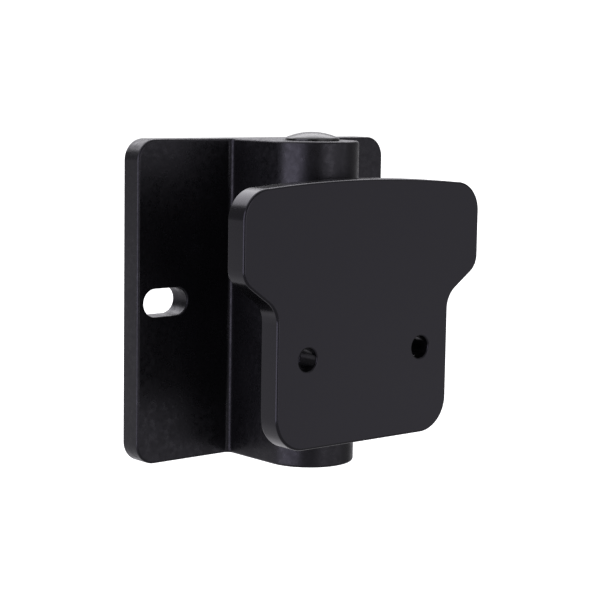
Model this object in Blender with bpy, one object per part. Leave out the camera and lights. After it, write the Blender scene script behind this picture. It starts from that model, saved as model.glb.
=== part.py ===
"""Sprung swivel latch bracket: a square post plate with a full-height barrel,
and a keystone-shaped latch plate that swivels on a vertical pin in front of it.

The origin is the centre of the flat back face that lies on the post.
+X runs across the bracket, +Y points into the post, +Z is up.
"""
import math

import bmesh
import bpy

MM = 0.001

# ---- Driving dimensions, in millimetres -------------------------------------
GAP = 0.3                    # air between neighbouring pieces
PAST = 1.0                   # how far a cutter runs past the face that it cuts

POST_PLATE_SIZE = 76.0       # width and height of the square post plate
POST_PLATE_THICK = 6.0
POST_PLATE_CORNER_R = 5.0
CAST_FILLET = 1.2            # post plate into web
CAST_EDGE = 0.6              # rounding of the bracket's outer edges

SLOT_X = 30.0                # slot centre from the middle
SLOT_LENGTH = 12.4
SLOT_HEIGHT = 6.6            # clears an M6 screw

BARREL_R = 11.0              # barrel and web share one width
AXIS_Y = -(POST_PLATE_THICK + 16.5)

KNUCKLE_GAP_HALF = 21.3      # half height of the window between the two knuckles
SWIVEL_KNUCKLE_HALF = 19.9   # half height of the middle knuckle
SWIVEL_KNUCKLE_R = 10.9
SEAT_R = 11.5                # hollow in the web that the middle knuckle turns in

POCKET_HALF_WIDTH = 6.5      # two cored pockets in the back of the web
POCKET_NEAR_Z = 8.0
POCKET_FAR_Z = 30.0
POCKET_DEPTH = 7.0
POCKET_CORNER_R = 2.0

LATCH_FRONT = 20.0           # front face of the latch plate, ahead of the axis
LATCH_THICK = 6.0
LATCH_TOP = 29.9             # top of the crown
LATCH_CROWN_R = 320.0
LATCH_EAR_X = 36.0           # half width of the upper half
LATCH_TOP_CORNER_R = 7.0
EAR_LOWER_R = 5.0
EAR_LOWER_Z = 11.0           # height where the ear's side starts to turn in
SHOULDER_SLOPE = 35.0        # degrees below level
SHOULDER_R = 6.0
LATCH_WAIST_X = 26.3         # half width of the lower half
LATCH_BOTTOM = -30.5
LATCH_BOTTOM_CORNER_R = 8.0
LATCH_EDGE = 0.6             # rounding of the latch plate's edges
NECK_HALF_WIDTH = 7.5
NECK_FILLET = 2.0
LATCH_HOLE_X = 17.4
LATCH_HOLE_Z = -10.0
LATCH_HOLE_R = 2.6

PIN_R = 4.0
PIN_HEAD_R = 6.4
PIN_HEAD_RIM = 0.8
PIN_HEAD_DOME = 1.4
PIN_END_Z = -36.4
PIN_CHAMFER = 0.5
CLIP_GROOVE_R = 3.2
CLIP_GROOVE_Z = (-35.3, -33.9)
CLIP_R = 5.8
CLIP_RELIEF_R = 4.6          # between the clip's prongs
CLIP_GRIP_R = 3.4            # the prongs' tips
CLIP_MOUTH = 80.0            # degrees that the clip is open at the front
CLIP_PRONG = 16.0            # degrees that a prong's tip spans

SPRING_BORE_R = 8.0          # bore through the middle knuckle
SPRING_WIRE_R = 0.75
SPRING_R = 6.0
SPRING_TURNS = 7
SPRING_HALF = 6.6            # half height of the coil's centre line
SPRING_TANG_Z = 10.4
SPRING_BEND = 0.5            # height of the bend from coil to tang

COLLAR_Z = (7.9, 11.9)
CROSS_PIN_R = 0.95
CROSS_PIN_HALF = 7.0
THRUST_Z = (20.2, 21.0)
THRUST_R = 9.6
BUSH_Z = (12.5, 19.9)
BUSH_FLANGE_THICK = 1.3
BUSH_FLANGE_R = 9.2

HEAD_SEAT_R = 6.8            # recess in the top of the barrel
HEAD_SEAT_DEPTH = 1.6
HEAD_WASHER_THICK = 0.8
FOOT_BORE_R = 7.2            # recess in the foot of the barrel
FOOT_BORE_DEPTH = 5.5
FOOT_WASHER_R = 6.7
FOOT_WASHER_THICK = 0.8

PLUG_EDGE = 0.4
PLUG_SKIRT_THICK = 0.7
PLUG_DISC_THICK = 1.2
PLUG_HEIGHT = 2.6

SCREW_CHAMFER = 0.3
LOCK_SCREW_R = 2.0
LOCK_SCREW_Z = 29.5
LOCK_SCREW_SUNK = 1.0        # below the barrel's surface
LOCK_SOCKET_R = 1.15
LOCK_SOCKET_DEPTH = 1.8
COLLAR_SCREW_R = 1.5
COLLAR_SCREW_SUNK = 0.5
COLLAR_SOCKET_R = 0.85
COLLAR_SOCKET_DEPTH = 1.2

HALF = POST_PLATE_SIZE / 2


# ---- Outlines and meshes ----------------------------------------------------
def arc(cx, cy, radius, start, end, steps):
    """Points on an arc, angles in degrees, both ends included."""
    turn = [math.radians(start + (end - start) * i / steps) for i in range(steps + 1)]
    return [(cx + radius * math.cos(a), cy + radius * math.sin(a)) for a in turn]


def rounded_rectangle(half_u, half_v, radius, steps, centre=(0.0, 0.0)):
    cu, cv = centre
    points = []
    for sign_u, sign_v, start in ((1, 1, 0), (-1, 1, 90), (-1, -1, 180), (1, -1, 270)):
        points += arc(cu + sign_u * (half_u - radius), cv + sign_v * (half_v - radius),
                      radius, start, start + 90, steps)
    return points


def slot_outline(centre_u, length, height, steps):
    r = height / 2
    reach = length / 2 - r
    return (arc(centre_u + reach, 0, r, -90, 90, steps)
            + arc(centre_u - reach, 0, r, 90, 270, steps))


def finish_mesh(bm, name, smooth_angle=35):
    bmesh.ops.remove_doubles(bm, verts=bm.verts, dist=1e-7)
    bmesh.ops.recalc_face_normals(bm, faces=bm.faces)
    mesh = bpy.data.meshes.new(name)
    bm.to_mesh(mesh)
    bm.free()
    mesh.shade_smooth()
    mesh.set_sharp_from_angle(angle=math.radians(smooth_angle))
    return mesh


def in_metres(direction, u, v, w):
    """A point of an outline at height w, for an outline in X, Y ("Z") or in X, Z ("Y")."""
    return (u * MM, v * MM, w * MM) if direction == "Z" else (u * MM, w * MM, v * MM)


def add_prism(bm, outline, direction, low, high):
    """Extrude a closed outline from low to high, along Z or along Y."""
    cap = bm.faces.new([bm.verts.new(in_metres(direction, u, v, low)) for u, v in outline])
    grown = bmesh.ops.extrude_face_region(bm, geom=[cap])["geom"]
    far = [item for item in grown if isinstance(item, bmesh.types.BMVert)]
    bmesh.ops.translate(bm, verts=far, vec=in_metres(direction, 0, 0, high - low))


def prism(name, outlines, direction, low, high):
    bm = bmesh.new()
    for outline in outlines:
        add_prism(bm, outline, direction, low, high)
    return finish_mesh(bm, name)


def add_turned(bm, profile, steps):
    """Turn a profile of (radius, z) about the Z axis; it is closed, or ends on the axis."""
    closed = profile[0][0] > 0 or profile[-1][0] > 0
    rings = []
    for radius, z in profile:
        if radius == 0:
            rings.append([bm.verts.new((0, 0, z * MM))])
            continue
        turn = [2 * math.pi * (i + 0.5) / steps for i in range(steps)]
        rings.append([bm.verts.new((radius * math.cos(a) * MM, radius * math.sin(a) * MM, z * MM))
                      for a in turn])
    pairs = list(zip(rings, rings[1:]))
    if closed:
        pairs.append((rings[-1], rings[0]))
    for lower, upper in pairs:
        for i in range(steps):
            j = (i + 1) % steps
            corners = [lower[i % len(lower)], lower[j % len(lower)],
                       upper[j % len(upper)], upper[i % len(upper)]]
            bm.faces.new(list(dict.fromkeys(corners)))


def turned(name, profile, steps=36):
    bm = bmesh.new()
    add_turned(bm, profile, steps)
    return finish_mesh(bm, name)


def ring_profile(inner, outer, low, high, chamfer=0.2):
    return [(inner, low), (outer - chamfer, low), (outer, low + chamfer),
            (outer, high - chamfer), (outer - chamfer, high), (inner, high)]


def rod_profile(radius, low, high, chamfer=0.0):
    if chamfer == 0:
        return [(0, low), (radius, low), (radius, high), (0, high)]
    return [(0, low), (radius - chamfer, low), (radius, low + chamfer),
            (radius, high - chamfer), (radius - chamfer, high), (0, high)]


# ---- Objects, cuts and materials --------------------------------------------
def clear_scene():
    for old in list(bpy.data.objects):
        bpy.data.objects.remove(old, do_unlink=True)


def place(name, data, material=None, parent=None, location=(0, 0, 0), rotation=(0, 0, 0)):
    """Add an object; location in millimetres, rotation in degrees."""
    obj = bpy.data.objects.new(name, data)
    bpy.context.scene.collection.objects.link(obj)
    obj.location = [value * MM for value in location]
    obj.rotation_euler = [math.radians(value) for value in rotation]
    obj.parent = parent
    if material:
        data.materials.append(material)
    return obj


def boolean(obj, tool_name, mesh, operation="DIFFERENCE", **placing):
    """Cut, join or trim an object with a hidden tool mesh."""
    tool = place(tool_name, mesh, **placing)
    tool.hide_render = True
    tool.display_type = "WIRE"
    modifier = obj.modifiers.new(tool_name, "BOOLEAN")
    modifier.operation = operation
    modifier.solver = "EXACT"
    modifier.object = tool


def round_edges(obj, width, segments=2, angle=40):
    bevel = obj.modifiers.new("Rounded edges", "BEVEL")
    bevel.width = width * MM
    bevel.segments = segments
    bevel.limit_method = "ANGLE"
    bevel.angle_limit = math.radians(angle)


def coat(name, colour, roughness, metallic):
    material = bpy.data.materials.new(name)
    material.use_nodes = True
    shader = material.node_tree.nodes["Principled BSDF"]
    shader.inputs["Base Color"].default_value = (*colour, 1)
    shader.inputs["Roughness"].default_value = roughness
    shader.inputs["Metallic"].default_value = metallic
    return material


# ---- Post bracket -----------------------------------------------------------
def web_section(inset):
    """Level section of web and barrel, flared into the post plate at its root."""
    face = -POST_PLATE_THICK
    root = BARREL_R + CAST_FILLET
    fillet = CAST_FILLET + inset
    right = arc(root, face - CAST_FILLET, fillet, 90, 180, 4)
    barrel = arc(0, AXIS_Y, BARREL_R - inset, 0, -180, 40)
    left = arc(-root, face - CAST_FILLET, fillet, 0, 90, 4)
    sunk = face + POST_PLATE_THICK / 2
    return [(root, sunk)] + right + barrel + left + [(-root, sunk)]


def web_mesh(name):
    """Web and barrel, full height, with the edges of both ends rounded."""
    edge_steps = 3
    layers = []
    for i in range(edge_steps + 1):
        a = math.pi / 2 * i / edge_steps
        layers.append((CAST_EDGE * (1 - math.sin(a)), HALF - CAST_EDGE * (1 - math.cos(a))))
    bm = bmesh.new()
    rings = []
    for inset, height in layers + [(inset, -height) for inset, height in reversed(layers)]:
        rings.append([bm.verts.new((x * MM, y * MM, height * MM)) for x, y in web_section(inset)])
    for upper, lower in zip(rings, rings[1:]):
        for i, corner in enumerate(upper):
            j = (i + 1) % len(upper)
            bm.faces.new((corner, upper[j], lower[j], lower[i]))
    bm.faces.new(rings[0])
    bm.faces.new(rings[-1])
    return finish_mesh(bm, name)


def build_bracket(material):
    plate_shape = rounded_rectangle(HALF, HALF, POST_PLATE_CORNER_R, 8)
    bracket = place("base_bracket", prism("base_bracket", [plate_shape], "Y", -POST_PLATE_THICK, 0),
                    material)
    round_edges(bracket, CAST_EDGE, 3)
    boolean(bracket, "web", web_mesh("web"), "UNION")

    bore_r = PIN_R + GAP
    shoulder = -HALF + FOOT_BORE_DEPTH
    seat = HALF - HEAD_SEAT_DEPTH
    low, high = -HALF - PAST, HALF + PAST
    hollow = [(0, low), (FOOT_BORE_R, low), (FOOT_BORE_R, shoulder), (bore_r, shoulder),
              (bore_r, -KNUCKLE_GAP_HALF), (SEAT_R, -KNUCKLE_GAP_HALF), (SEAT_R, KNUCKLE_GAP_HALF),
              (bore_r, KNUCKLE_GAP_HALF), (bore_r, seat), (HEAD_SEAT_R, seat), (HEAD_SEAT_R, high),
              (0, high)]
    boolean(bracket, "knuckle_hollow", turned("knuckle_hollow", hollow, 64), location=(0, AXIS_Y, 0))

    slots = [slot_outline(side * SLOT_X, SLOT_LENGTH, SLOT_HEIGHT, 12) for side in (-1, 1)]
    boolean(bracket, "screw_slots", prism("screw_slots", slots, "Y", -POST_PLATE_THICK - PAST, PAST))

    middle = (POCKET_NEAR_Z + POCKET_FAR_Z) / 2
    half_height = (POCKET_FAR_Z - POCKET_NEAR_Z) / 2
    pockets = [rounded_rectangle(POCKET_HALF_WIDTH, half_height, POCKET_CORNER_R, 4, (0, side * middle))
               for side in (-1, 1)]
    boolean(bracket, "cored_pockets", prism("cored_pockets", pockets, "Y", -POCKET_DEPTH, PAST))

    for side in (-1, 1):
        screw_bore = rod_profile(LOCK_SCREW_R + GAP, PIN_R / 2, BARREL_R + PAST)
        name = "upper_lock_bore" if side > 0 else "lower_lock_bore"
        boolean(bracket, name, turned(name, screw_bore, 24),
                location=(0, AXIS_Y, side * LOCK_SCREW_Z), rotation=(0, 90, 0))


# ---- Latch plate ------------------------------------------------------------
def latch_outline():
    """Keystone outline in X, Z: crowned top, two ears, sloped shoulders, narrow foot."""
    crown_centre = LATCH_TOP - LATCH_CROWN_R
    corner_x = LATCH_EAR_X - LATCH_TOP_CORNER_R
    crown_turn = math.degrees(math.asin(corner_x / LATCH_CROWN_R))
    corner_z = crown_centre + LATCH_CROWN_R * math.cos(math.radians(crown_turn)) - LATCH_TOP_CORNER_R
    turn = 90 - SHOULDER_SLOPE
    ear_end = (LATCH_EAR_X - EAR_LOWER_R * (1 - math.cos(math.radians(turn))),
               EAR_LOWER_Z - EAR_LOWER_R * math.sin(math.radians(turn)))
    slope_end_x = LATCH_WAIST_X + SHOULDER_R * (1 - math.cos(math.radians(turn)))
    drop = math.tan(math.radians(SHOULDER_SLOPE)) * (ear_end[0] - slope_end_x)
    shoulder_z = ear_end[1] - drop - SHOULDER_R * math.sin(math.radians(turn))

    crown = arc(0, crown_centre, LATCH_CROWN_R, 90, 90 - crown_turn, 6)
    corner = arc(corner_x, corner_z, LATCH_TOP_CORNER_R, 90, 0, 10)
    ear = arc(LATCH_EAR_X - EAR_LOWER_R, EAR_LOWER_Z, EAR_LOWER_R, 0, -turn, 6)
    shoulder = arc(LATCH_WAIST_X + SHOULDER_R, shoulder_z, SHOULDER_R, 180 - turn, 180, 6)
    foot_r = LATCH_BOTTOM_CORNER_R
    foot = arc(LATCH_WAIST_X - foot_r, LATCH_BOTTOM + foot_r, foot_r, 0, -90, 8)
    right = crown[1:] + corner[1:] + ear + shoulder + foot
    left = [(-x, z) for x, z in reversed(right)]
    return [crown[0]] + right + left


def knuckle_section():
    """Level section of the middle knuckle and the neck that carries the latch plate."""
    back = -(LATCH_FRONT - LATCH_THICK)
    root = NECK_HALF_WIDTH + NECK_FILLET
    meet = math.degrees(math.acos(NECK_HALF_WIDTH / SWIVEL_KNUCKLE_R))
    left = arc(-root, back + NECK_FILLET, NECK_FILLET, -90, 0, 4)
    barrel = arc(0, 0, SWIVEL_KNUCKLE_R, 180 + meet, -meet, 48)
    right = arc(root, back + NECK_FILLET, NECK_FILLET, 180, 270, 4)
    sunk = back - LATCH_THICK / 3
    return [(-root, sunk)] + left + barrel + right + [(root, sunk)]


def build_latch_plate(material, axis):
    back = -(LATCH_FRONT - LATCH_THICK)
    latch = place("swivel_plate", prism("swivel_plate", [latch_outline()], "Y", -LATCH_FRONT, back),
                  material, axis)
    round_edges(latch, LATCH_EDGE, 3)
    boolean(latch, "middle_knuckle",
            prism("middle_knuckle", [knuckle_section()], "Z", -SWIVEL_KNUCKLE_HALF, SWIVEL_KNUCKLE_HALF),
            "UNION", parent=axis)

    recess = BUSH_FLANGE_R + GAP
    recess_z = SWIVEL_KNUCKLE_HALF - BUSH_FLANGE_THICK - GAP
    end = SWIVEL_KNUCKLE_HALF + PAST
    bore = [(0, -end), (recess, -end), (recess, -recess_z), (SPRING_BORE_R, -recess_z),
            (SPRING_BORE_R, recess_z), (recess, recess_z), (recess, end), (0, end)]
    boolean(latch, "spring_bore", turned("spring_bore", bore, 64), parent=axis)

    holes = [arc(side * LATCH_HOLE_X, LATCH_HOLE_Z, LATCH_HOLE_R, 0, 345, 23) for side in (-1, 1)]
    boolean(latch, "latch_holes", prism("latch_holes", holes, "Y", -LATCH_FRONT - PAST, back + PAST),
            parent=axis)
    screw_bore = rod_profile(COLLAR_SCREW_R + GAP, SPRING_BORE_R - 2 * PAST, SWIVEL_KNUCKLE_R + PAST)
    boolean(latch, "collar_screw_bore", turned("collar_screw_bore", screw_bore, 20),
            parent=axis, location=(0, 0, sum(COLLAR_Z) / 2), rotation=(0, 90, 0))


# ---- Pin and what it carries ------------------------------------------------
def pin_profile():
    head_low = HALF - HEAD_SEAT_DEPTH + HEAD_WASHER_THICK + 2 * GAP
    rim_top = head_low + PIN_HEAD_RIM
    dome_r = (PIN_HEAD_R ** 2 + PIN_HEAD_DOME ** 2) / (2 * PIN_HEAD_DOME)
    dome_steps = 8
    dome_turn = math.asin(PIN_HEAD_R / dome_r)
    dome = []
    for i in range(dome_steps):
        a = dome_turn * (1 - i / dome_steps)
        dome.append((dome_r * math.sin(a), rim_top + PIN_HEAD_DOME - dome_r * (1 - math.cos(a))))
    low_groove, high_groove = CLIP_GROOVE_Z
    shaft = [(0, PIN_END_Z), (PIN_R - PIN_CHAMFER, PIN_END_Z), (PIN_R, PIN_END_Z + PIN_CHAMFER),
             (PIN_R, low_groove), (CLIP_GROOVE_R, low_groove), (CLIP_GROOVE_R, high_groove),
             (PIN_R, high_groove), (PIN_R, head_low), (PIN_HEAD_R, head_low)]
    return shaft + dome + [(0, rim_top + PIN_HEAD_DOME)]


def cross_bore(name):
    reach = SPRING_BORE_R + PAST
    return turned(name, rod_profile(CROSS_PIN_R + GAP, -reach, reach), 20)


def build_pin(material, post_axis):
    pin = place("pivot_pin", turned("pivot_pin", pin_profile(), 48), material, post_axis)
    boolean(pin, "pin_cross_bore", cross_bore("pin_cross_bore"), parent=post_axis,
            location=(0, 0, -sum(COLLAR_Z) / 2), rotation=(0, 90, 0))


def build_rings(materials, post_axis, swivel_axis):
    """Washers and bushes, the same above and below the middle knuckle."""
    bore_r = PIN_R + GAP
    bush_r = SPRING_BORE_R - GAP
    flange_low = BUSH_Z[1] - BUSH_FLANGE_THICK
    bush = [(bore_r, BUSH_Z[0]), (bush_r, BUSH_Z[0]), (bush_r, flange_low),
            (BUSH_FLANGE_R, flange_low), (BUSH_FLANGE_R, BUSH_Z[1]), (bore_r, BUSH_Z[1])]
    thrust = ring_profile(bore_r, THRUST_R, *THRUST_Z)
    for word, flip in (("upper", 0), ("lower", 180)):
        place(word + "_bush", turned(word + "_bush", bush), materials["acetal"], swivel_axis,
              rotation=(flip, 0, 0))
        place(word + "_thrust_washer", turned(word + "_thrust_washer", thrust), materials["bronze"],
              post_axis, rotation=(flip, 0, 0))

    low = HALF - HEAD_SEAT_DEPTH + GAP
    head_ring = ring_profile(bore_r, HEAD_SEAT_R - GAP, low, low + HEAD_WASHER_THICK)
    place("head_washer", turned("head_washer", head_ring), materials["nylon"], post_axis)
    top = -HALF + FOOT_BORE_DEPTH - GAP
    foot_ring = ring_profile(bore_r, FOOT_WASHER_R, top - FOOT_WASHER_THICK, top)
    place("foot_washer", turned("foot_washer", foot_ring), materials["steel"], post_axis)


def build_collars(material, post_axis, swivel_axis):
    """Two collars that hold the spring's tangs: one on the pin, one in the middle knuckle."""
    tang_bore = rod_profile(SPRING_WIRE_R + GAP, COLLAR_Z[0] - PAST, COLLAR_Z[1] + PAST)
    for word, sign, parent, outer in (("upper", 1, swivel_axis, SPRING_BORE_R - GAP),
                                      ("lower", -1, post_axis, SPRING_BORE_R - 2 * GAP)):
        name = word + "_spring_collar"
        low, high = sorted((sign * COLLAR_Z[0], sign * COLLAR_Z[1]))
        collar = place(name, turned(name, ring_profile(PIN_R + GAP, outer, low, high)), material, parent)
        boolean(collar, word + "_tang_bore", turned(word + "_tang_bore", tang_bore, 16), parent=parent,
                location=(0, SPRING_R, 0), rotation=(0 if sign > 0 else 180, 0, 0))
        if sign < 0:
            boolean(collar, "collar_cross_bore", cross_bore("collar_cross_bore"), parent=parent,
                    location=(0, 0, (low + high) / 2), rotation=(0, 90, 0))


def spring_path():
    """Centre line: a tang, a smooth turn into the coil, the coil, and a second tang."""
    steps_per_turn = 16
    steps = SPRING_TURNS * steps_per_turn
    coil = []
    for i in range(steps + 1):
        share = i / steps
        angle = math.pi / 2 + 2 * math.pi * SPRING_TURNS * share
        z = SPRING_HALF * (2 * share - 1)
        coil.append((SPRING_R * math.cos(angle), SPRING_R * math.sin(angle), z))
    bend_z = SPRING_HALF + SPRING_BEND
    foot = [(0.0, SPRING_R, -SPRING_TANG_Z), (0.0, SPRING_R, -bend_z)]
    head = [(0.0, SPRING_R, bend_z), (0.0, SPRING_R, SPRING_TANG_Z)]
    return foot + coil + head


def build_spring(material, swivel_axis):
    curve = bpy.data.curves.new("centring_spring", "CURVE")
    curve.dimensions = "3D"
    curve.bevel_depth = SPRING_WIRE_R * MM
    curve.bevel_resolution = 2
    curve.use_fill_caps = True
    path = spring_path()
    spline = curve.splines.new("POLY")
    spline.points.add(len(path) - 1)
    for point, (x, y, z) in zip(spline.points, path):
        point.co = (x * MM, y * MM, z * MM, 1)
    place("centring_spring", curve, material, swivel_axis)


def clip_outline():
    """E-clip: three prongs grip the groove, and the mouth is open at the front."""
    start = -90 + CLIP_MOUTH / 2
    end = 270 - CLIP_MOUTH / 2
    tip = CLIP_PRONG / 2
    prongs = [end - tip, 90, start + tip]
    outline = arc(0, 0, CLIP_R, start, end, 40)
    for middle, following in zip(prongs, prongs[1:]):
        outline += arc(0, 0, CLIP_GRIP_R, middle + tip, middle - tip, 4)
        outline += arc(0, 0, CLIP_RELIEF_R, middle - CLIP_PRONG, following + CLIP_PRONG, 12)
    return outline + arc(0, 0, CLIP_GRIP_R, prongs[-1] + tip, prongs[-1] - tip, 4)


def hex_key_screw(name, radius, low, high, socket_r, socket_depth):
    """Headless screw along Z with a six-sided socket in its upper end."""
    bm = bmesh.new()
    add_turned(bm, rod_profile(radius, low, high, SCREW_CHAMFER), 24)
    hexagon = arc(0, 0, socket_r, 0, 300, 5)
    socket = prism(name + "_socket", [hexagon], "Z", high - socket_depth, high + PAST)
    return finish_mesh(bm, name), socket


def build_fasteners(materials, post_axis, swivel_axis):
    steel = materials["black_steel"]
    for side, word in ((1, "upper"), (-1, "lower")):
        name = word + "_lock_screw"
        body, socket = hex_key_screw(name, LOCK_SCREW_R, PIN_R + GAP, BARREL_R - LOCK_SCREW_SUNK,
                                     LOCK_SOCKET_R, LOCK_SOCKET_DEPTH)
        placing = dict(parent=post_axis, location=(0, 0, side * LOCK_SCREW_Z), rotation=(0, 90, 0))
        screw = place(name, body, steel, **placing)
        boolean(screw, name + "_socket", socket, **placing)

    middle = sum(COLLAR_Z) / 2
    body, socket = hex_key_screw("collar_screw", COLLAR_SCREW_R, SPRING_BORE_R,
                                 SWIVEL_KNUCKLE_R - COLLAR_SCREW_SUNK, COLLAR_SOCKET_R, COLLAR_SOCKET_DEPTH)
    placing = dict(parent=swivel_axis, location=(0, 0, middle), rotation=(0, 90, 0))
    screw = place("collar_screw", body, steel, **placing)
    boolean(screw, "collar_screw_socket", socket, **placing)

    cross_pin = rod_profile(CROSS_PIN_R, -CROSS_PIN_HALF, CROSS_PIN_HALF, 0.2)
    place("collar_cross_pin", turned("collar_cross_pin", cross_pin, 20), materials["steel"], post_axis,
          location=(0, 0, -middle), rotation=(0, 90, 0))
    low, high = CLIP_GROOVE_Z[0] + GAP, CLIP_GROOVE_Z[1] - GAP
    clip = prism("retaining_clip", [clip_outline()], "Z", low, high)
    place("retaining_clip", clip, materials["steel"], post_axis)


def build_foot_plug(material, post_axis):
    """Push-in plug: a disc level with the barrel's foot, and a skirt above it."""
    outer = FOOT_BORE_R - GAP
    inner = outer - PLUG_SKIRT_THICK
    disc_top = -HALF + PLUG_DISC_THICK
    skirt_top = -HALF + PLUG_HEIGHT
    profile = [(0, -HALF), (outer - PLUG_EDGE, -HALF), (outer, -HALF + PLUG_EDGE), (outer, skirt_top),
               (inner, skirt_top), (inner, disc_top), (0, disc_top)]
    place("foot_plug", turned("foot_plug", profile, 48), material, post_axis)


def main():
    clear_scene()
    materials = {
        "powder_coat": coat("powder_coat", (0.010, 0.010, 0.011), 0.55, 0.0),
        "satin_coat": coat("satin_coat", (0.022, 0.021, 0.025), 0.42, 0.0),
        "pin_black": coat("pin_black", (0.012, 0.012, 0.014), 0.35, 0.3),
        "black_steel": coat("black_steel", (0.03, 0.03, 0.03), 0.4, 0.9),
        "steel": coat("steel", (0.55, 0.55, 0.56), 0.35, 1.0),
        "spring_steel": coat("spring_steel", (0.42, 0.42, 0.43), 0.3, 1.0),
        "bronze": coat("bronze", (0.62, 0.40, 0.20), 0.35, 1.0),
        "acetal": coat("acetal", (0.80, 0.79, 0.75), 0.45, 0.0),
        "nylon": coat("nylon", (0.03, 0.03, 0.03), 0.5, 0.0),
        "collar_steel": coat("collar_steel", (0.50, 0.50, 0.50), 0.4, 1.0),
        "plug_plastic": coat("plug_plastic", (0.015, 0.015, 0.016), 0.5, 0.0),
    }
    post_axis = place("post_axis", None, location=(0, AXIS_Y, 0))
    swivel_axis = place("swivel_axis", None, location=(0, AXIS_Y, 0))

    build_bracket(materials["powder_coat"])
    build_latch_plate(materials["satin_coat"], swivel_axis)
    build_pin(materials["pin_black"], post_axis)
    build_rings(materials, post_axis, swivel_axis)
    build_collars(materials["collar_steel"], post_axis, swivel_axis)
    build_spring(materials["spring_steel"], swivel_axis)
    build_fasteners(materials, post_axis, swivel_axis)
    build_foot_plug(materials["plug_plastic"], post_axis)


main()
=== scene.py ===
"""Looks of a sprung swivel latch bracket.

A black post bracket with a vertical barrel carries a keystone-shaped latch plate
that swivels on the barrel's pin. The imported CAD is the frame. This script replaces
its large bodies with finer ones of the same shape and size, and adds the finishes,
the light, the floor and the camera. Lengths are in metres; MM is a millimetre.
"""

import math

import bmesh
import bpy
from mathutils import Matrix, Vector


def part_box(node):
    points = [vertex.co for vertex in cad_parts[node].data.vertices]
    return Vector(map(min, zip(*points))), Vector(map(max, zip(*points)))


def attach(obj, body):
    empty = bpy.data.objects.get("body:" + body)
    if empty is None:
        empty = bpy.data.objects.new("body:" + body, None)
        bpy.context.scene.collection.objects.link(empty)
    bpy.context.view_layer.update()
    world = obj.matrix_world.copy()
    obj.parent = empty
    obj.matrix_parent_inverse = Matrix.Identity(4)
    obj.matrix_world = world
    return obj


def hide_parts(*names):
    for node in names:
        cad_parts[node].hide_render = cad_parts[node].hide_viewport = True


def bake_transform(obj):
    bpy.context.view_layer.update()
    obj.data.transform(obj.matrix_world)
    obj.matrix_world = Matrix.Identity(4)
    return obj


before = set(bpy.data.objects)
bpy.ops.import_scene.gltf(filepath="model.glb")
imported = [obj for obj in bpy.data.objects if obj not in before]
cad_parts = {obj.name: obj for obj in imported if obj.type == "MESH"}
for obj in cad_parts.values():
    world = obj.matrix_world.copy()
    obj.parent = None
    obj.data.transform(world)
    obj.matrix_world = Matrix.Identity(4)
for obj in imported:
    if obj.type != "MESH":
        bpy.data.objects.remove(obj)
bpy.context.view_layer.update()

MM = 0.001
GAP = 0.3 * MM               # air between a screw or pin and its bore

# ---- Sizes read from the frame ----------------------------------------------
bracket_low, bracket_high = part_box("base_bracket")
latch_low, latch_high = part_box("swivel_plate")
pin_low, pin_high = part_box("pivot_pin")
spring_low, spring_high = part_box("centring_spring")
plug_low, plug_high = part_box("foot_plug")
upper_screw_low, upper_screw_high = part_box("upper_lock_screw")
collar_screw_low, collar_screw_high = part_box("collar_screw")
cross_pin_low, cross_pin_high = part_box("collar_cross_pin")

HALF = bracket_high.x                          # half the square post plate
AXIS_Y = (pin_low.y + pin_high.y) / 2          # the pin's axis
BARREL_R = AXIS_Y - bracket_low.y
PIN_HEAD_R = pin_high.x
EAR_X = latch_high.x
LATCH_FRONT_Y = latch_low.y
LATCH_TOP = latch_high.z
LATCH_BOTTOM = latch_low.z
PLUG_R = plug_high.x
LOCK_SCREW_Z = (upper_screw_low.z + upper_screw_high.z) / 2
LOCK_BORE_R = (upper_screw_high.z - upper_screw_low.z) / 2 + GAP
COLLAR_SCREW_Z = (collar_screw_low.z + collar_screw_high.z) / 2
COLLAR_BORE_R = (collar_screw_high.z - collar_screw_low.z) / 2 + GAP
CROSS_BORE_Z = (cross_pin_low.z + cross_pin_high.z) / 2
CROSS_BORE_R = (cross_pin_high.z - cross_pin_low.z) / 2 + GAP
CROSS_BORE_REACH = cross_pin_high.x + 2 * MM

# ---- Sizes that the CAD's boxes don't give ----------------------------------
PLATE_THICK = 6 * MM
PLATE_CORNER_R = 5 * MM
CAST_FILLET = 1.2 * MM
CAST_EDGE = 0.6 * MM
SLOT_X = 30 * MM
SLOT_LENGTH = 12.4 * MM
SLOT_HEIGHT = 6.6 * MM
WINDOW_HALF = 21.3 * MM
SEAT_R = 11.5 * MM
POCKET_HALF_WIDTH = 6.5 * MM
POCKET_NEAR_Z = 8 * MM
POCKET_FAR_Z = 30 * MM
POCKET_DEPTH = 7 * MM
POCKET_CORNER_R = 2 * MM
HEAD_SEAT_R = 6.8 * MM
HEAD_SEAT_DEPTH = 1.6 * MM
FOOT_BORE_R = 7.2 * MM
FOOT_BORE_DEPTH = 5.5 * MM
PIN_BORE_R = 4.3 * MM
RIM_R = 0.45 * MM            # rounding of the rims of slots, holes and recesses

LATCH_THICK = 6 * MM
CROWN_R = 320 * MM
TOP_CORNER_R = 7 * MM
EAR_LOWER_R = 5 * MM
EAR_LOWER_Z = 11 * MM
SHOULDER_SLOPE = math.radians(35)
SHOULDER_R = 6 * MM
WAIST_X = 26.3 * MM
FOOT_CORNER_R = 8 * MM
LATCH_EDGE = 0.6 * MM
NECK_HALF_WIDTH = 7.5 * MM
NECK_FILLET = 2 * MM
KNUCKLE_R = 10.9 * MM
KNUCKLE_HALF = 19.9 * MM
KNUCKLE_EDGE = 0.5 * MM
SPRING_BORE_R = 8 * MM
BUSH_RECESS_R = 9.5 * MM
BUSH_RECESS_Z = 18.3 * MM
LATCH_HOLE_X = 17.4 * MM
LATCH_HOLE_Z = -10 * MM
LATCH_HOLE_R = 2.6 * MM

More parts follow.
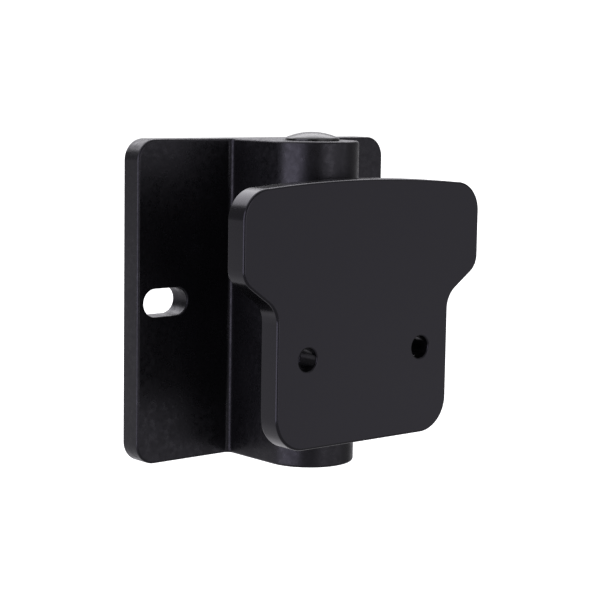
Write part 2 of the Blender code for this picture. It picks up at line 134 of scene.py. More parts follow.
PIN_R = 4 * MM
PIN_HEAD_LOW = HALF - 0.2 * MM
PIN_HEAD_RIM = 0.8 * MM
PIN_HEAD_SOFT = 0.25 * MM    # rounding of the head's rim
PIN_CHAMFER = 0.5 * MM
GROOVE_R = 3.2 * MM
GROOVE_Z = (-35.3 * MM, -33.9 * MM)
WIRE_R = 0.75 * MM
SPRING_R = 6 * MM
SPRING_TURNS = 7
SPRING_HALF = 6.6 * MM
SPRING_BEND = 0.5 * MM       # height of the bend from coil to tang
SPRING_COIL_STEPS = 32       # points in one turn

PLUG_EDGE = 0.4 * MM
PLUG_SKIRT_THICK = 0.7 * MM
PLUG_DISC_THICK = 1.2 * MM
PLUG_DISH_SHARE = 0.62       # the dish's radius over the plug's
PLUG_DISH_DEPTH = 0.35 * MM

PAST = 0.1 * MM              # how far a cutter runs past the face that it cuts
SCREW_SINK = 0.35 * MM       # countersink at the mouth of a screw's bore
BUSH_RIM_R = 0.3 * MM
ROUND = 96                   # sides of a large turned piece
SHARP_ANGLE = math.radians(38)


# ---- Outlines ---------------------------------------------------------------
def arc(cx, cy, radius, start, end, steps):
    """Points on an arc, angles in degrees, both ends included."""
    turns = [math.radians(start + (end - start) * i / steps) for i in range(steps + 1)]
    return [Vector((cx + radius * math.cos(a), cy + radius * math.sin(a))) for a in turns]


def rounded_rectangle(half_u, half_v, radius, steps, centre_v=0.0):
    points = []
    for sign_u, sign_v, start in ((1, 1, 0), (-1, 1, 90), (-1, -1, 180), (1, -1, 270)):
        points += arc(sign_u * (half_u - radius), centre_v + sign_v * (half_v - radius),
                      radius, start, start + 90, steps)
    return points


def slot_outline(centre_u, length, height, steps):
    r = height / 2
    reach = length / 2 - r
    return (arc(centre_u + reach, 0, r, -90, 90, steps)
            + arc(centre_u - reach, 0, r, 90, 270, steps))


def circle(cu, cv, radius, steps):
    return arc(cu, cv, radius, 0, 360 - 360 / steps, steps - 1)


def grown(outline, distance):
    """A counter-clockwise outline moved outward, or inward for a negative distance."""
    moved = []
    for i, point in enumerate(outline):
        before = (point - outline[i - 1]).normalized()
        after = (outline[(i + 1) % len(outline)] - point).normalized()
        normal = Vector((before.y + after.y, -before.x - after.x))
        moved.append(point + normal * (2 * distance / normal.length_squared))
    return moved


def web_outline():
    """Level section of web and barrel, flared into the post plate at its root."""
    root = BARREL_R + CAST_FILLET
    fillet_y = -PLATE_THICK - CAST_FILLET
    sunk = -PLATE_THICK / 2
    right = arc(root, fillet_y, CAST_FILLET, 90, 180, 8)
    barrel = arc(0, AXIS_Y, BARREL_R, 0, -180, 96)
    left = arc(-root, fillet_y, CAST_FILLET, 0, 90, 8)
    around = [Vector((root, sunk))] + right + barrel + left + [Vector((-root, sunk))]
    return around[::-1]


def latch_outline():
    """Keystone: crowned top, two ears, sloped shoulders, narrow foot."""
    turn = math.pi / 2 - SHOULDER_SLOPE
    turned = math.degrees(turn)
    crown_z = LATCH_TOP - CROWN_R
    corner_x = EAR_X - TOP_CORNER_R
    crown_turn = math.asin(corner_x / CROWN_R)
    corner_z = crown_z + CROWN_R * math.cos(crown_turn) - TOP_CORNER_R
    ear_end = Vector((EAR_X - EAR_LOWER_R * (1 - math.cos(turn)),
                      EAR_LOWER_Z - EAR_LOWER_R * math.sin(turn)))
    slope_end_x = WAIST_X + SHOULDER_R * (1 - math.cos(turn))
    drop = math.tan(SHOULDER_SLOPE) * (ear_end.x - slope_end_x)
    shoulder_z = ear_end.y - drop - SHOULDER_R * math.sin(turn)

    crown = arc(0, crown_z, CROWN_R, 90, 90 - math.degrees(crown_turn), 12)
    corner = arc(corner_x, corner_z, TOP_CORNER_R, 90, 0, 20)
    ear = arc(EAR_X - EAR_LOWER_R, EAR_LOWER_Z, EAR_LOWER_R, 0, -turned, 12)
    shoulder = arc(WAIST_X + SHOULDER_R, shoulder_z, SHOULDER_R, 180 - turned, 180, 12)
    foot = arc(WAIST_X - FOOT_CORNER_R, LATCH_BOTTOM + FOOT_CORNER_R, FOOT_CORNER_R, 0, -90, 20)
    right = crown[1:] + corner[1:] + ear + shoulder + foot
    left = [Vector((-p.x, p.y)) for p in reversed(right)]
    return ([crown[0]] + right + left)[::-1]


def knuckle_outline():
    """Level section of the middle knuckle and the neck that carries the latch plate."""
    back = LATCH_FRONT_Y + LATCH_THICK
    root = NECK_HALF_WIDTH + NECK_FILLET
    meet = math.degrees(math.acos(NECK_HALF_WIDTH / KNUCKLE_R))
    sunk = back - LATCH_THICK / 3
    left = arc(-root, back + NECK_FILLET, NECK_FILLET, -90, 0, 10)
    barrel = arc(0, AXIS_Y, KNUCKLE_R, 180 + meet, -meet, 96)
    right = arc(root, back + NECK_FILLET, NECK_FILLET, 180, 270, 10)
    around = [Vector((-root, sunk))] + left + barrel + right + [Vector((root, sunk))]
    return around[::-1]


# ---- Solids -----------------------------------------------------------------
def rounding(radius, steps):
    """(inset, depth) of a rounded edge, from the face to the side."""
    turns = [math.pi / 2 * i / steps for i in range(steps + 1)]
    return [(radius * (1 - math.sin(a)), radius * (1 - math.cos(a))) for a in turns]


def mouth(radius, steps=4):
    """(outset, depth) of a cutter's flared mouth, run out past the face."""
    start = math.radians(12)
    turns = [start + (math.pi / 2 - start) * i / steps for i in range(steps + 1)]
    rim = [(radius * (1 - math.sin(a)), radius * (1 - math.cos(a))) for a in turns]
    return [(rim[0][0] + (PAST + rim[0][1]) / math.tan(start), -PAST)] + rim


def along(direction):
    """Turns (u, v, w) of an outline and its height into a point, for an axis Y or Z."""
    if direction == "Z":
        return lambda u, v, w: Vector((u, v, w))
    return lambda u, v, w: Vector((u, w, v))


def skin(bm, layers, direction):
    """A closed skin over a stack of outlines; each layer is (outline, height)."""
    point = along(direction)
    rings = [[bm.verts.new(point(p.x, p.y, w)) for p in outline] for outline, w in layers]
    for lower, upper in zip(rings, rings[1:]):
        for i, corner in enumerate(lower):
            j = (i + 1) % len(lower)
            bm.faces.new((corner, lower[j], upper[j], upper[i]))
    bm.faces.new(rings[0])
    bm.faces.new(rings[-1])


def slab(bm, outline, direction, low, high, edge, steps=5):
    """An outline given thickness, with both of its rims rounded."""
    near = [(grown(outline, -inset), low + depth) for inset, depth in rounding(edge, steps)]
    far = [(grown(outline, -inset), high - depth) for inset, depth in rounding(edge, steps)]
    skin(bm, near + far[::-1], direction)


def cutter(bm, outline, direction, low, high, rim_low, rim_high):
    """A cutter from low to high; a rim radius of 0 leaves that end blind."""
    near = [(outline, low)]
    far = [(outline, high)]
    if rim_low:
        near = [(grown(outline, outset), low + depth) for outset, depth in mouth(rim_low)]
    if rim_high:
        far = [(grown(outline, outset), high - depth) for outset, depth in mouth(rim_high)]
    skin(bm, near + far[::-1], direction)


def turned(bm, profile, steps=ROUND, place=None):
    """Turn a closed profile of (radius, z) about Z; both of its ends are on the axis."""
    rings = []
    for radius, z in profile:
        count = steps if radius > 0 else 1
        turns = [2 * math.pi * (i + 0.5) / steps for i in range(count)]
        points = [Vector((radius * math.cos(a), radius * math.sin(a), z)) for a in turns]
        rings.append([bm.verts.new(place @ p if place else p) for p in points])
    for lower, upper in zip(rings, rings[1:]):
        for i in range(steps):
            j = (i + 1) % steps
            corners = [lower[i % len(lower)], lower[j % len(lower)],
                       upper[j % len(upper)], upper[i % len(upper)]]
            bm.faces.new(list(dict.fromkeys(corners)))


def on_axis(z=0.0):
    """Upright on the pin's axis."""
    return Matrix.Translation((0, AXIS_Y, z))


def across_axis(z):
    """Lying along +X from the pin's axis."""
    return on_axis(z) @ Matrix.Rotation(math.pi / 2, 4, "Y")


def mesh_of(bm, name):
    bmesh.ops.remove_doubles(bm, verts=bm.verts, dist=1e-8)
    bmesh.ops.recalc_face_normals(bm, faces=bm.faces)
    mesh = bpy.data.meshes.new(name)
    bm.to_mesh(mesh)
    bm.free()
    return mesh


def add_object(name, mesh):
    obj = bpy.data.objects.new(name, mesh)
    bpy.context.scene.collection.objects.link(obj)
    return obj


def final_mesh(obj):
    """The object's mesh with its modifiers or bevel applied."""
    bpy.context.view_layer.update()
    depsgraph = bpy.context.evaluated_depsgraph_get()
    return bpy.data.meshes.new_from_object(obj.evaluated_get(depsgraph))


def combined(name, start, steps):
    """Join or cut the start mesh with each (operation, mesh), and return one final mesh."""
    body = add_object(name + "_start", start)
    tools = []
    for i, (operation, mesh) in enumerate(steps):
        tool = add_object(f"{name}_tool_{i}", mesh)
        tools.append(tool)
        modifier = body.modifiers.new("step", "BOOLEAN")
        modifier.operation = operation
        modifier.solver = "EXACT"
        modifier.object = tool
    made = final_mesh(body)
    for obj in [body] + tools:
        data = obj.data
        bpy.data.objects.remove(obj)
        bpy.data.meshes.remove(data)
    made.name = name
    return made


def finished(name, mesh):
    """A piece with smooth shading that is broken only at real edges."""
    mesh.shade_smooth()
    mesh.set_sharp_from_angle(angle=SHARP_ANGLE)
    obj = add_object(name, mesh)
    weighted = obj.modifiers.new("Weighted normals", "WEIGHTED_NORMAL")
    weighted.mode = "FACE_AREA"
    weighted.weight = 60
    weighted.keep_sharp = True
    return obj


# ---- Post bracket -----------------------------------------------------------
def bracket_hollow():
    """Window for the middle knuckle, pin bores, head recess and foot bore."""
    bm = bmesh.new()
    shoulder = -HALF + FOOT_BORE_DEPTH
    seat = HALF - HEAD_SEAT_DEPTH
    foot = [(FOOT_BORE_R + outset, -HALF + depth) for outset, depth in mouth(RIM_R)]
    head = [(HEAD_SEAT_R + outset, HALF - depth) for outset, depth in mouth(RIM_R)]
    profile = ([(0, foot[0][1])] + foot
               + [(FOOT_BORE_R, shoulder), (PIN_BORE_R, shoulder),
                  (PIN_BORE_R, -WINDOW_HALF), (SEAT_R, -WINDOW_HALF),
                  (SEAT_R, WINDOW_HALF), (PIN_BORE_R, WINDOW_HALF),
                  (PIN_BORE_R, seat), (HEAD_SEAT_R, seat)]
               + head[::-1] + [(0, head[0][1])])
    turned(bm, profile, ROUND, on_axis())
    return mesh_of(bm, "bracket_hollow")


def screw_bore(radius, surface, z):
    """Bore from inside the pin to the barrel's surface, with a countersunk mouth."""
    bm = bmesh.new()
    inner = 2 * MM
    sink = SCREW_SINK
    profile = [(0, inner), (radius, inner), (radius, surface - 2 * sink),
               (radius + 3 * sink, surface + sink), (0, surface + sink)]
    turned(bm, profile, 48, across_axis(z))
    return mesh_of(bm, "screw_bore")


def build_bracket():
    bm = bmesh.new()
    outline = rounded_rectangle(HALF, HALF, PLATE_CORNER_R, 16)
    slab(bm, outline, "Y", -PLATE_THICK, 0, CAST_EDGE)
    plate = mesh_of(bm, "post_plate")

    bm = bmesh.new()
    slab(bm, web_outline(), "Z", -HALF, HALF, CAST_EDGE)
    web = mesh_of(bm, "web")

    bm = bmesh.new()
    for side in (-1, 1):
        outline = slot_outline(side * SLOT_X, SLOT_LENGTH, SLOT_HEIGHT, 24)
        cutter(bm, outline, "Y", -PLATE_THICK, 0, RIM_R, RIM_R)
    slots = mesh_of(bm, "slots")

    bm = bmesh.new()
    for side in (-1, 1):
        middle = side * (POCKET_NEAR_Z + POCKET_FAR_Z) / 2
        outline = rounded_rectangle(POCKET_HALF_WIDTH, (POCKET_FAR_Z - POCKET_NEAR_Z) / 2,
                                    POCKET_CORNER_R, 10, middle)
        cutter(bm, outline, "Y", -POCKET_DEPTH, 0, 0, RIM_R)
    pockets = mesh_of(bm, "pockets")

    steps = [("UNION", web), ("DIFFERENCE", bracket_hollow()), ("DIFFERENCE", slots),
             ("DIFFERENCE", pockets)]
    for side in (-1, 1):
        steps.append(("DIFFERENCE", screw_bore(LOCK_BORE_R, BARREL_R, side * LOCK_SCREW_Z)))
    return finished("bracket_casting", combined("bracket_casting", plate, steps))


# ---- Latch plate ------------------------------------------------------------
def build_latch_plate():
    back = LATCH_FRONT_Y + LATCH_THICK
    bm = bmesh.new()
    slab(bm, latch_outline(), "Y", LATCH_FRONT_Y, back, LATCH_EDGE, 6)
    plate = mesh_of(bm, "keystone")

    bm = bmesh.new()
    slab(bm, knuckle_outline(), "Z", -KNUCKLE_HALF, KNUCKLE_HALF, KNUCKLE_EDGE)
    knuckle = mesh_of(bm, "knuckle")

    bm = bmesh.new()
    end = [(BUSH_RECESS_R + outset, KNUCKLE_HALF - depth) for outset, depth in mouth(BUSH_RIM_R)]
    half = ([(0, end[0][1])] + end
            + [(BUSH_RECESS_R, BUSH_RECESS_Z), (SPRING_BORE_R, BUSH_RECESS_Z)])
    turned(bm, [(r, -z) for r, z in half] + half[::-1], ROUND, on_axis())
    bore = mesh_of(bm, "spring_bore")

    bm = bmesh.new()
    for side in (-1, 1):
        outline = circle(side * LATCH_HOLE_X, LATCH_HOLE_Z, LATCH_HOLE_R, 48)
        cutter(bm, outline, "Y", LATCH_FRONT_Y, back, RIM_R, RIM_R)
    holes = mesh_of(bm, "holes")

    steps = [("UNION", knuckle), ("DIFFERENCE", bore), ("DIFFERENCE", holes),
             ("DIFFERENCE", screw_bore(COLLAR_BORE_R, KNUCKLE_R, COLLAR_SCREW_Z))]
    return finished("latch_plate_casting", combined("latch_plate_casting", plate, steps))


# ---- Pin, plug and spring ---------------------------------------------------
def build_pin():
    dome_height = pin_high.z - PIN_HEAD_LOW - PIN_HEAD_RIM
    dome_r = (PIN_HEAD_R ** 2 + dome_height ** 2) / (2 * dome_height)
    dome_turn = math.asin(PIN_HEAD_R / dome_r)
    rim_z = PIN_HEAD_LOW + PIN_HEAD_RIM
    soft = PIN_HEAD_SOFT
    dome_steps = 24
    dome_share = 0.965             # the dome stops short, which rounds the rim's top
    dome = []
    for i in range(dome_steps):
        a = dome_turn * (1 - i / dome_steps) * dome_share
        dome.append((dome_r * math.sin(a), pin_high.z - dome_r * (1 - math.cos(a))))
    profile = [(0, pin_low.z), (PIN_R - PIN_CHAMFER, pin_low.z), (PIN_R, pin_low.z + PIN_CHAMFER),
               (PIN_R, GROOVE_Z[0]), (GROOVE_R, GROOVE_Z[0]), (GROOVE_R, GROOVE_Z[1]),
               (PIN_R, GROOVE_Z[1]), (PIN_R, PIN_HEAD_LOW), (PIN_HEAD_R - soft, PIN_HEAD_LOW),
               (PIN_HEAD_R, PIN_HEAD_LOW + soft), (PIN_HEAD_R, rim_z - soft / 2)]
    bm = bmesh.new()
    turned(bm, profile + dome + [(0, pin_high.z)], ROUND, on_axis())
    body = mesh_of(bm, "pin")
    bm = bmesh.new()
    reach = CROSS_BORE_REACH
    side = [(CROSS_BORE_R, -reach), (CROSS_BORE_R, reach)]
    turned(bm, [(0, -reach)] + side + [(0, reach)], 32, across_axis(CROSS_BORE_Z))
    bore = mesh_of(bm, "cross_bore")
    return finished("pin_body", combined("pin_body", body, [("DIFFERENCE", bore)]))


def build_plug():
    """Push-in plug: a rounded disc with a shallow moulded dish, and a skirt above it."""
    low = plug_low.z
    rim = [(PLUG_R - inset, low + depth) for inset, depth in rounding(PLUG_EDGE, 5)]
    dish_r = PLUG_R * PLUG_DISH_SHARE
    slope = 0.25 * MM
    dish = [(dish_r + slope, low), (dish_r, low + 0.1 * MM),
            (dish_r - slope, low + PLUG_DISH_DEPTH)]
    skirt_r = PLUG_R - PLUG_SKIRT_THICK
    disc_top = low + PLUG_DISC_THICK
    skirt = [(PLUG_R, plug_high.z), (skirt_r, plug_high.z), (skirt_r, disc_top), (0, disc_top)]
    bm = bmesh.new()
    turned(bm, [(0, dish[-1][1])] + dish[::-1] + rim + skirt, ROUND, on_axis())
    return finished("plug_body", mesh_of(bm, "plug_body"))


def spring_line():
    """Centre line of the spring: a tang, a short bend, the coil, a bend and a tang."""
    steps = SPRING_TURNS * SPRING_COIL_STEPS
    coil = []
    for i in range(steps + 1):
        share = i / steps
        a = math.pi / 2 + 2 * math.pi * SPRING_TURNS * share
        coil.append(Vector((SPRING_R * math.cos(a), SPRING_R * math.sin(a),
                            SPRING_HALF * (2 * share - 1))))
    bend = Vector((0, 0, SPRING_BEND))
    low, high = coil[0], coil[-1]
    foot = Vector((0, SPRING_R, spring_low.z))
    head = Vector((0, SPRING_R, spring_high.z))
    return [foot, low - bend * 3, low - bend] + coil + [high + bend, high + bend * 3, head]


def build_spring():
    curve = bpy.data.curves.new("spring_line", "CURVE")
    curve.dimensions = "3D"
    curve.bevel_depth = WIRE_R
    curve.bevel_resolution = 4
    curve.use_fill_caps = True
    line = spring_line()
    spline = curve.splines.new("POLY")
    spline.points.add(len(line) - 1)
    for point, place in zip(spline.points, line):
        point.co = (place.x, AXIS_Y + place.y, place.z, 1)
    drawn = add_object("spring_drawn", curve)
    mesh = final_mesh(drawn)
    bpy.data.objects.remove(drawn)
    bpy.data.curves.remove(curve)
    mesh.shade_smooth()
    mesh.set_sharp_from_angle(angle=math.radians(50))
    return add_object("spring_wire", mesh)


# ---- Materials --------------------------------------------------------------
class Finish:
    """A procedural material: noises in object space drive its colour, gloss and bump."""

    def __init__(self, name, metallic=0.0, specular=0.5, tint=(1.0, 1.0, 1.0)):
        self.material = bpy.data.materials.new(name)
        self.material.use_nodes = True
        self.tree = self.material.node_tree
        self.shader = self.tree.nodes["Principled BSDF"]
        self.shader.inputs["Metallic"].default_value = metallic
        self.shader.inputs["Specular IOR Level"].default_value = specular
        self.shader.inputs["Specular Tint"].default_value = (*tint, 1)
        self.place = self.tree.nodes.new("ShaderNodeTexCoord").outputs["Object"]

    def stretched(self, x, y, z):
        mapping = self.tree.nodes.new("ShaderNodeMapping")
        mapping.inputs["Scale"].default_value = (x, y, z)
        self.tree.links.new(self.place, mapping.inputs["Vector"])
        return mapping.outputs["Vector"]

    def noise(self, size, detail=2.0, roughness=0.5, place=None):
        """Noise whose grains are about size across."""
        node = self.tree.nodes.new("ShaderNodeTexNoise")
        node.inputs["Scale"].default_value = 1 / size
        node.inputs["Detail"].default_value = detail
        node.inputs["Roughness"].default_value = roughness
        self.tree.links.new(place or self.place, node.inputs["Vector"])
        return node.outputs["Fac"]

    def ramp(self, source, stops):
        node = self.tree.nodes.new("ShaderNodeValToRGB")
        ramp = node.color_ramp
        while len(ramp.elements) < len(stops):
            ramp.elements.new(0.5)
        for element, (position, colour) in zip(ramp.elements, stops):
            element.position = position
            element.color = (*colour, 1)
        self.tree.links.new(source, node.inputs["Fac"])
        return node.outputs["Color"]

    def spread(self, source, low, high, low_out, high_out):
        node = self.tree.nodes.new("ShaderNodeMapRange")
        for socket, value in zip(("From Min", "From Max", "To Min", "To Max"),
                                 (low, high, low_out, high_out)):
            node.inputs[socket].default_value = value
        self.tree.links.new(source, node.inputs["Value"])
        return node.outputs["Result"]

    def mixed(self, share, a, b):
        """Blend two values, share of the second."""
        node = self.tree.nodes.new("ShaderNodeMix")
        node.inputs["Factor"].default_value = share
        self.tree.links.new(a, node.inputs["A"])
        self.tree.links.new(b, node.inputs["B"])
        return node.outputs["Result"]

    def colour(self, source):
        self.tree.links.new(source, self.shader.inputs["Base Color"])

    def gloss(self, source):
        self.tree.links.new(source, self.shader.inputs["Roughness"])

    def bump(self, source, height):
        node = self.tree.nodes.new("ShaderNodeBump")
        node.inputs["Strength"].default_value = 1.0
        node.inputs["Distance"].default_value = height
        self.tree.links.new(source, node.inputs["Height"])
        self.tree.links.new(node.outputs["Normal"], self.shader.inputs["Normal"])


def grey(level, tint=(1.0, 1.0, 1.0)):
    return tuple(level * t for t in tint)


def powder_coat():
    """Fine-textured black powder coat with a few paler grains."""
    finish = Finish("powder_coat_black", specular=0.45, tint=(1.0, 0.97, 1.08))
    grain = finish.noise(0.5 * MM, 3, 0.6)
    peel = finish.noise(1.3 * MM, 2, 0.5)
    cloud = finish.noise(14 * MM, 2, 0.5)
    tint = (1.0, 0.98, 1.12)
    finish.colour(finish.ramp(finish.mixed(0.25, finish.mixed(0.5, grain, peel), cloud), [
        (0.32, grey(0.0015, tint)), (0.50, grey(0.004, tint)), (0.66, grey(0.012, tint))]))
    finish.gloss(finish.spread(peel, 0.3, 0.7, 0.44, 0.24))
    finish.bump(finish.mixed(0.6, grain, peel), 0.032 * MM)
    return finish.material


def satin_coat():
    """Smooth satin black coat with a faint orange peel."""
    finish = Finish("satin_coat_black", specular=0.42, tint=(1.0, 0.97, 1.10))
    grain = finish.noise(0.3 * MM, 2, 0.5)
    peel = finish.noise(1.9 * MM, 2, 0.45)
    cloud = finish.noise(18 * MM, 2, 0.5)
    tint = (1.0, 0.97, 1.12)
    finish.colour(finish.ramp(finish.mixed(0.6, grain, cloud), [
        (0.30, grey(0.0045, tint)), (0.70, grey(0.0065, tint))]))
    finish.gloss(finish.spread(cloud, 0.3, 0.7, 0.19, 0.23))
    finish.bump(finish.mixed(0.75, grain, peel), 0.006 * MM)
    return finish.material


def pin_black():
    """Glossier black on the pin: a plated and lacquered steel head."""
    finish = Finish("pin_black_plated", specular=0.7)
    grain = finish.noise(0.5 * MM, 2, 0.5)
    finish.colour(finish.ramp(grain, [(0.3, grey(0.006)), (0.7, grey(0.012))]))
    finish.gloss(finish.spread(grain, 0.3, 0.7, 0.20, 0.26))
    finish.bump(grain, 0.004 * MM)
    return finish.material


def turned_metal(name, colour, rough):
    """Machined metal: fine rings along the axis, small stains in its gloss."""
    finish = Finish(name, metallic=1.0)
    rings = finish.noise(0.25 * MM, 2, 0.6, finish.stretched(0.05, 0.05, 1.0))
    stain = finish.noise(2.5 * MM, 3, 0.6)
    finish.colour(finish.ramp(stain, [(0.3, tuple(c * 0.86 for c in colour)), (0.7, colour)]))
    finish.gloss(finish.spread(stain, 0.3, 0.7, rough * 0.85, rough * 1.25))
    finish.bump(rings, 0.012 * MM)
    return finish.material


def black_oxide():
    finish = Finish("black_oxide_steel", metallic=0.85)
    grain = finish.noise(0.4 * MM, 3, 0.6)
    finish.colour(finish.ramp(grain, [(0.3, grey(0.02)), (0.7, grey(0.05))]))
    finish.gloss(finish.spread(grain, 0.3, 0.7, 0.34, 0.5))
    finish.bump(grain, 0.012 * MM)
    return finish.material


def moulded(name, dark, pale, rough):
    """Moulded plastic: faint flow marks and a fine spark-eroded texture."""
    finish = Finish(name)
    grain = finish.noise(0.35 * MM, 2, 0.5)
    flow = finish.noise(4 * MM, 2, 0.5)
    finish.colour(finish.ramp(flow, [(0.3, dark), (0.7, pale)]))
    finish.gloss(finish.spread(grain, 0.3, 0.7, rough * 0.85, rough * 1.15))
    finish.bump(grain, 0.015 * MM)
    return finish.material


def dress(obj, material):
    if obj.material_slots:
        for material_slot in obj.material_slots:
            material_slot.material = material
    else:
        obj.data.materials.append(material)


# ---- The object -------------------------------------------------------------
def stand_for(piece, node, body, material):
    piece.data.materials.clear()
    dress(piece, material)
    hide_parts(node)
    if body:
        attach(piece, body)


def build_object():
    stand_for(build_bracket(), "base_bracket", "post_bracket", powder_coat())
    stand_for(build_latch_plate(), "swivel_plate", "latch_plate",
              satin_coat())
    stand_for(build_pin(), "pivot_pin", "post_bracket", pin_black())
    stand_for(build_plug(), "foot_plug", "post_bracket",
              moulded("black_plug", grey(0.010), grey(0.016), 0.5))

    spring_steel = turned_metal("bright_spring_wire", grey(0.46, (1.0, 1.0, 1.02)), 0.3)
    spring = build_spring()
    stand_for(spring, "centring_spring", None, spring_steel)
    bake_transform(spring)

    steel = turned_metal("zinc_plated_steel", (0.56, 0.57, 0.59), 0.34)
    collar = turned_metal("turned_collar_steel", (0.50, 0.50, 0.51), 0.38)
    bronze = turned_metal("sintered_bronze", (0.60, 0.40, 0.21), 0.42)
    acetal = moulded("white_acetal", (0.70, 0.69, 0.65), (0.78, 0.77, 0.74), 0.42)
    nylon = moulded("black_nylon", grey(0.022), grey(0.032), 0.5)
    oxide = black_oxide()
    for material, nodes in (
            (steel, ("foot_washer", "retaining_clip", "collar_cross_pin")),
            (collar, ("upper_spring_collar", "lower_spring_collar")),
            (bronze, ("upper_thrust_washer", "lower_thrust_washer")),
            (acetal, ("upper_bush", "lower_bush")),
            (nylon, ("head_washer",)),
            (oxide, ("upper_lock_screw", "lower_lock_screw", "collar_screw"))):
        for node in nodes:
            dress(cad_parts[node], material)


# ---- Studio -----------------------------------------------------------------
FLOOR_DROP = 0.45
FLOOR_HALF = 12


def build_floor():
    """A wide pale floor, well below the bracket, as under a gate post."""
    bm = bmesh.new()
    bmesh.ops.create_grid(bm, x_segments=2, y_segments=2, size=FLOOR_HALF)
    floor = add_object("studio_floor", mesh_of(bm, "studio_floor"))
    floor.location.z = bracket_low.z - FLOOR_DROP
    floor.visible_diffuse = False
    floor.visible_glossy = False
    finish = Finish("pale_floor", specular=0.0)
    wash = finish.noise(0.5, 1, 0.5)
    finish.colour(finish.ramp(wash, [(0.3, grey(0.88)), (0.7, grey(0.90))]))
    finish.shader.inputs["Roughness"].default_value = 0.9
    finish.shader.inputs["Emission Color"].default_value = (1, 1, 1, 1)
    finish.shader.inputs["Emission Strength"].default_value = 0.9
    floor.data.materials.append(finish.material)


def ramped(tree, source, low, high, low_out, high_out):
    """A smooth step of a value between two levels."""
    node = tree.nodes.new("ShaderNodeMapRange")
    node.interpolation_type = "SMOOTHSTEP"
    for socket, value in zip(("From Min", "From Max", "To Min", "To Max"),
                             (low, high, low_out, high_out)):
        node.inputs[socket].default_value = value
    tree.links.new(source, node.inputs["Value"])
    return node.outputs["Result"]


def combine(tree, operation, a, b):
    node = tree.nodes.new("ShaderNodeMath")
    node.operation = operation
    tree.links.new(a, node.inputs[0])
    tree.links.new(b, node.inputs[1])
    return node.outputs["Value"]


def build_world():
    """Pale wall behind and to the left, paler above, dim in front; white to the camera."""
    world = bpy.data.worlds.new("studio")
    bpy.context.scene.world = world
    world.use_nodes = True
    tree = world.node_tree
    tree.nodes.clear()
    new, link = tree.nodes.new, tree.links.new
    split = new("ShaderNodeSeparateXYZ")
    link(new("ShaderNodeTexCoord").outputs["Generated"], split.inputs["Vector"])
    x, y, z = (split.outputs[axis] for axis in "XYZ")
    backdrop = ramped(tree, y, 0.3, 0.95, 0.2, 1.05)
    right = combine(tree, "MULTIPLY", backdrop, ramped(tree, x, -0.3, 0.1, 0.0, 1.0))
    wall = combine(tree, "MULTIPLY", ramped(tree, z, -0.09, -0.02, 0.56, 0.16),
                   ramped(tree, z, -0.7, -0.42, 0.2, 1.0))
    left = combine(tree, "MULTIPLY", wall, ramped(tree, y, -0.1, 0.3, 0.25, 1.0))
    below = combine(tree, "MULTIPLY", ramped(tree, z, -0.5, -0.15, 0.65, 0.0),
                    ramped(tree, y, -0.2, 0.4, 0.15, 1.0))
    above = combine(tree, "MULTIPLY", ramped(tree, z, 0.35, 0.85, 0.0, 1.6),
                    ramped(tree, y, -0.4, 0.3, 0.15, 1.0))
    front = combine(tree, "MULTIPLY", ramped(tree, y, -0.4, 0.1, 1.0, 0.0),
                    ramped(tree, z, -0.3, 0.05, 0.33, 0.16))
    light = right
    for part in (left, below, above, front):
        light = combine(tree, "MAXIMUM", light, part)
    lighting = new("ShaderNodeBackground")
    link(light, lighting.inputs["Strength"])
    lighting.inputs["Color"].default_value = (1.0, 0.985, 1.03, 1)
    seen = new("ShaderNodeBackground")
    seen.inputs["Color"].default_value = (1, 1, 1, 1)
    seen.inputs["Strength"].default_value = 1.2
    mix = new("ShaderNodeMixShader")
    link(new("ShaderNodeLightPath").outputs["Is Camera Ray"], mix.inputs["Fac"])
    link(lighting.outputs["Background"], mix.inputs[1])
    link(seen.outputs["Background"], mix.inputs[2])
    link(mix.outputs["Shader"], new("ShaderNodeOutputWorld").inputs["Surface"])


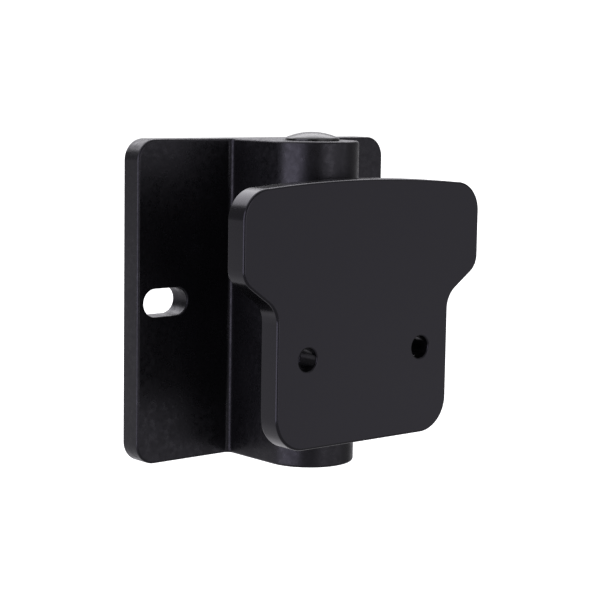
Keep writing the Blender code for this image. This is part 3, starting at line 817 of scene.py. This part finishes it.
def softbox(name, azimuth, elevation, distance, width, height, power, colour):
    """An area light aimed at the bracket; azimuth 0 is in front, 90 on its right."""
    a, e = math.radians(azimuth), math.radians(elevation)
    data = bpy.data.lights.new(name, "AREA")
    data.shape = "RECTANGLE"
    data.size = width
    data.size_y = height
    data.energy = power
    data.color = colour
    light = bpy.data.objects.new(name, data)
    bpy.context.scene.collection.objects.link(light)
    aim = Vector((0, AXIS_Y, 0))
    toward = Vector((math.sin(a) * math.cos(e), -math.cos(a) * math.cos(e), math.sin(e)))
    offset = toward * distance
    light.location = aim + offset
    light.visible_camera = False
    light.rotation_euler = (-offset).to_track_quat("-Z", "Y").to_euler()


def build_lights():
    softbox("left_window", -87, 4, 1.3, 1.3, 1.1, 8.0, (0.92, 0.89, 1.07))
    softbox("front_strip", 3, 6, 1.6, 0.95, 1.1, 3.4, (1.0, 0.98, 1.05))
    softbox("right_screen", 38, 7, 1.6, 0.85, 1.5, 1.7, (0.99, 0.97, 1.05))
    softbox("back_top", 165, 39, 1.5, 2.2, 0.5, 7.5, (1.0, 0.99, 1.02))


def build_camera():
    """The photograph's view: from the left and a little above."""
    yaw, pitch, roll = (math.radians(a) for a in (40.476, 7.033, 0.928))
    ahead = Vector((math.sin(yaw) * math.cos(pitch), math.cos(yaw) * math.cos(pitch),
                    -math.sin(pitch)))
    level = Vector((math.cos(yaw), -math.sin(yaw), 0))
    upright = level.cross(ahead)
    right = level * math.cos(roll) + upright * math.sin(roll)
    up = upright * math.cos(roll) - level * math.sin(roll)
    data = bpy.data.cameras.new("camera")
    data.sensor_width = 36
    data.lens = 104.49
    data.clip_start = 0.01
    camera = bpy.data.objects.new("camera", data)
    bpy.context.scene.collection.objects.link(camera)
    turn = Matrix((right, up, -ahead)).transposed().to_4x4()
    camera.matrix_world = Matrix.Translation((-267.84 * MM, -332.86 * MM, 50.79 * MM)) @ turn
    bpy.context.scene.camera = camera


build_object()
build_floor()
build_world()
build_lights()
build_camera()
bpy.context.scene.view_settings.view_transform = "Standard"
